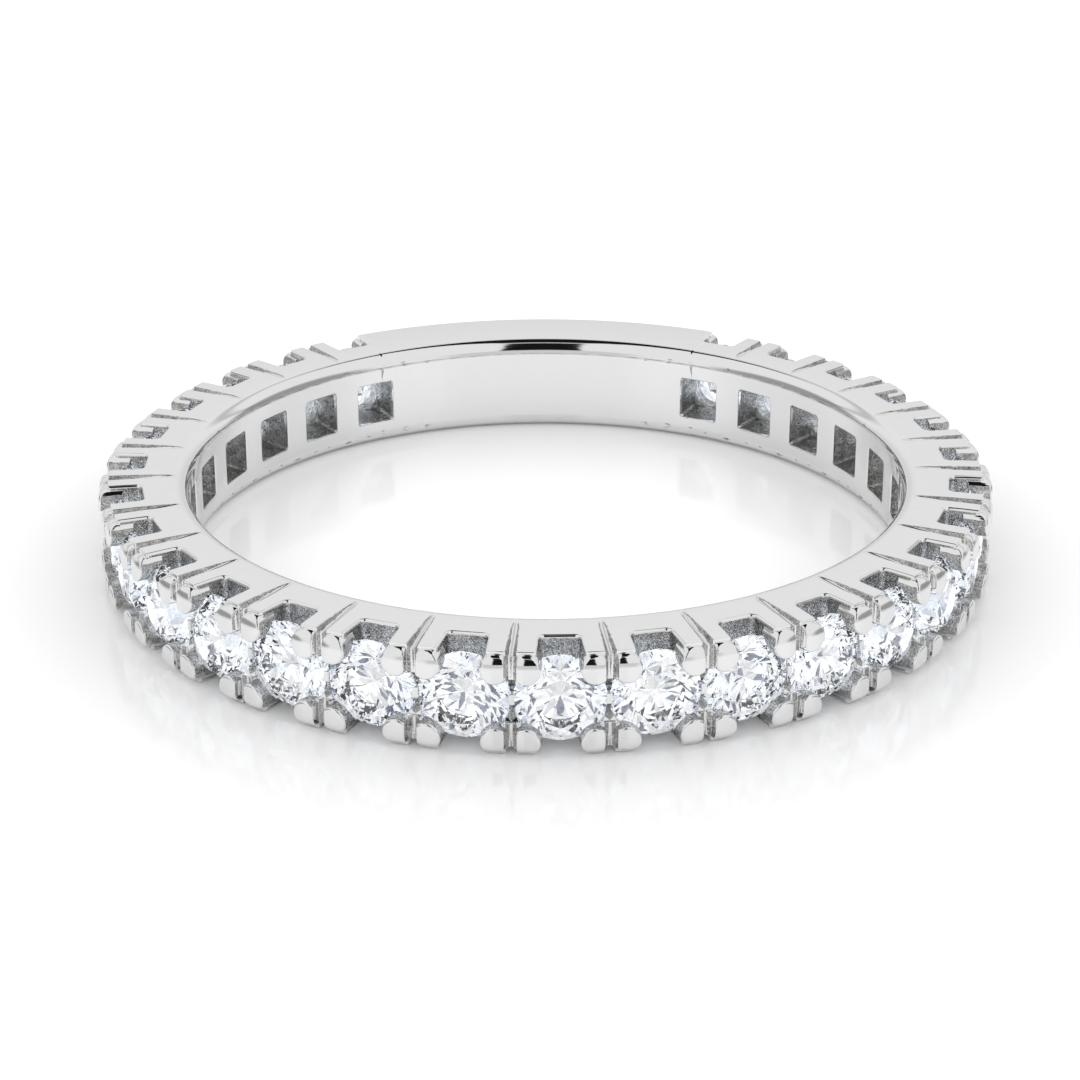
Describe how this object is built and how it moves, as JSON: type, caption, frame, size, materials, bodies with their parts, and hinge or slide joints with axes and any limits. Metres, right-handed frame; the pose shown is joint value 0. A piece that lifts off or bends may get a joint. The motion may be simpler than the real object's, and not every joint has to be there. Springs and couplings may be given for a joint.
{
  "type": "eternity ring",
  "caption": "Eternity ring: a slim polished white metal band set with a row of round brilliants in notched four-prong cells, with a plain bar at the back",
  "frame": {"origin": "on the axis of the finger hole, in the side face that the ring rests on", "axes": "+Z along the axis of the finger hole, up from the resting face; -Y towards the middle stone at the front; +Y towards the middle of the plain bar; +X to the right as seen from the front"},
  "size_m": [0.0212, 0.021, 0.0024],
  "materials": {
    "white_gold": "mirror-polished white gold, rhodium plated",
    "diamond": "colourless faceted brilliant cut"
  },
  "bodies": {
    "root": {"band": "white_gold", "stone_01": "diamond", "stone_02": "diamond", "stone_03": "diamond", "stone_04": "diamond", "stone_05": "diamond", "stone_06": "diamond", "stone_07": "diamond", "stone_08": "diamond", "stone_09": "diamond", "stone_10": "diamond", "stone_11": "diamond", "stone_12": "diamond", "stone_13": "diamond", "stone_14": "diamond", "stone_15": "diamond", "stone_16": "diamond", "stone_17": "diamond", "stone_18": "diamond", "stone_19": "diamond", "stone_20": "diamond", "stone_21": "diamond", "stone_22": "diamond", "stone_23": "diamond", "stone_24": "diamond", "stone_25": "diamond", "stone_26": "diamond", "stone_27": "diamond"}
  },
  "joints": []
}
